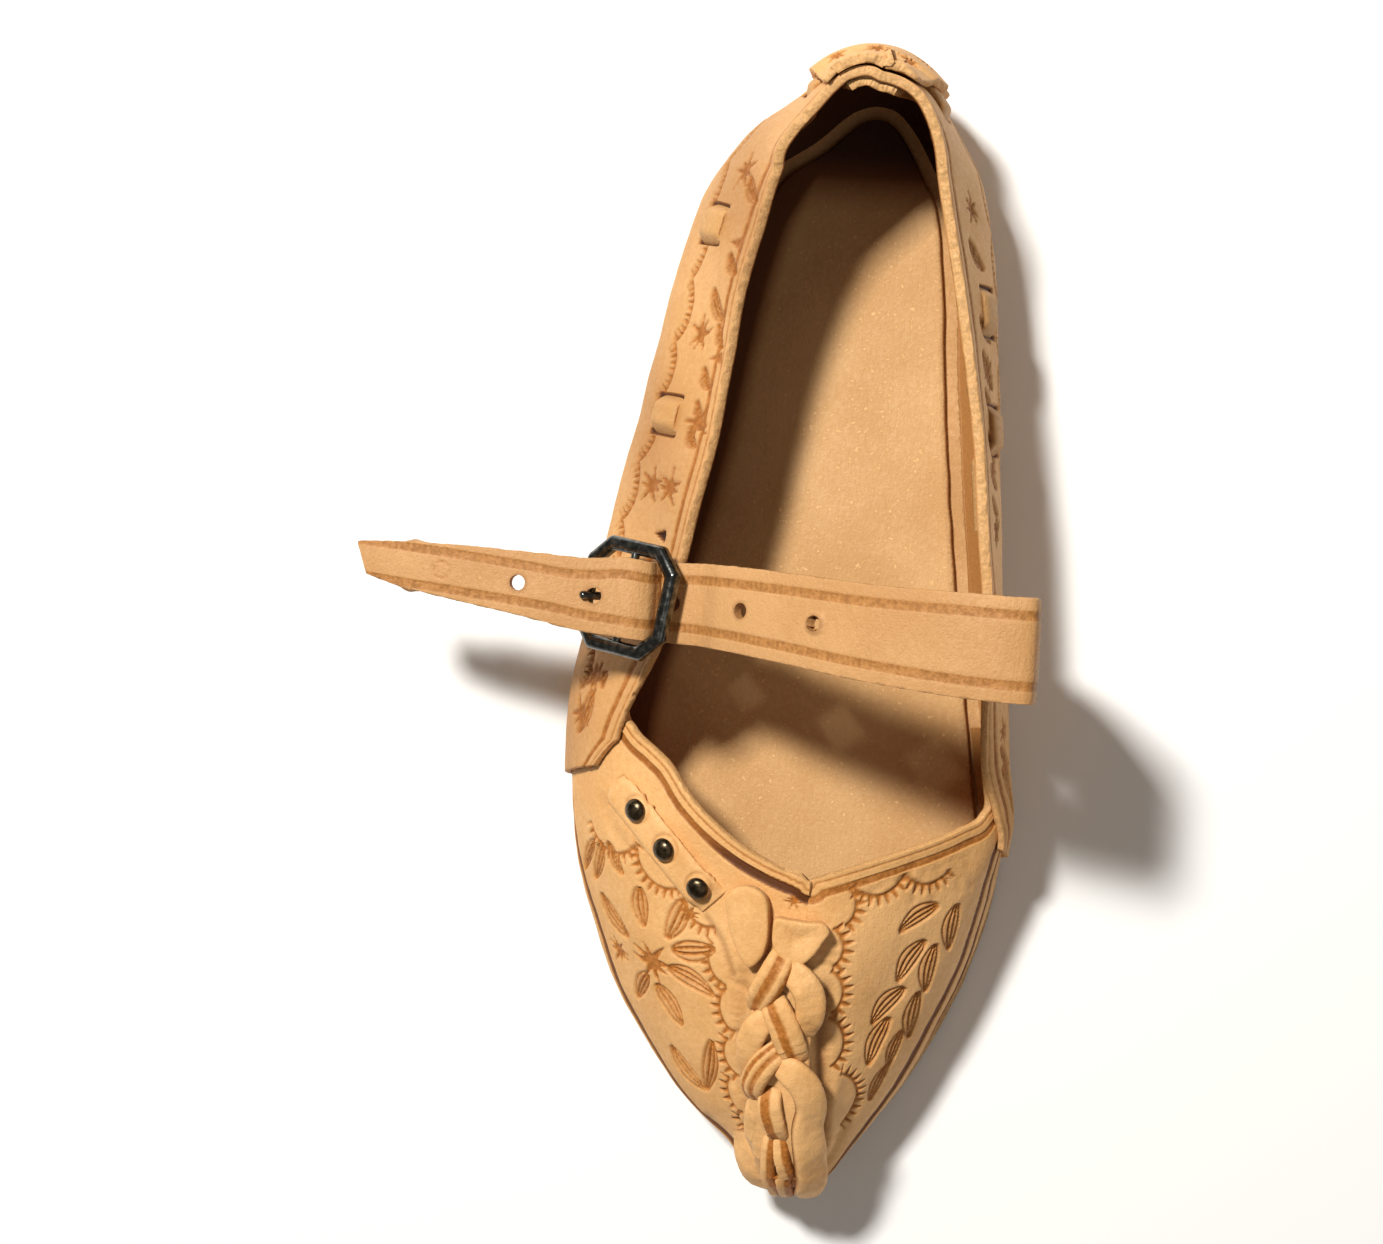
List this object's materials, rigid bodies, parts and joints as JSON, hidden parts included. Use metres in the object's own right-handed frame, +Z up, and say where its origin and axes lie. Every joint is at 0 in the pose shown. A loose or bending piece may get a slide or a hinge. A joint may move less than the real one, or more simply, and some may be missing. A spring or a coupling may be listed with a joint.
{
  "type": "leather moccasin",
  "caption": "Low tooled folk moccasin for the right foot, with a plaited toe seam, a buckled ankle strap and a thong woven round the heel.",
  "frame": {"origin": "on the floor, on the flat underside of the outsole under the middle of the heel", "axes": "+Z up, -Y towards the toe, +X towards the inner side of the foot"},
  "size_m": [0.1401, 0.2472, 0.0783],
  "materials": {
    "upper_leather": "tooled vegetable-tanned leather, dyed orange brown in the stamped marks",
    "sole_leather": "firm sole leather with a cut edge",
    "insole_leather": "smooth, matt",
    "strap_leather": "vegetable-tanned, two stamped brown lines",
    "dark_metal": "dark gunmetal, glossy",
    "stud_bronze": "dark bronze, glossy"
  },
  "bodies": {
    "root": {"upper": "upper_leather", "heel_patch": "upper_leather", "stud_strip": "upper_leather", "braid": "upper_leather", "braid_loop_outer": "upper_leather", "braid_loop_inner": "upper_leather", "outsole": "sole_leather", "insole": "insole_leather", "ankle_strap": "strap_leather", "heel_thong": "strap_leather", "buckle_tab": "strap_leather", "buckle_frame": "dark_metal", "buckle_prong": "dark_metal", "stud_1": "stud_bronze", "stud_2": "stud_bronze", "stud_3": "stud_bronze"}
  },
  "joints": []
}
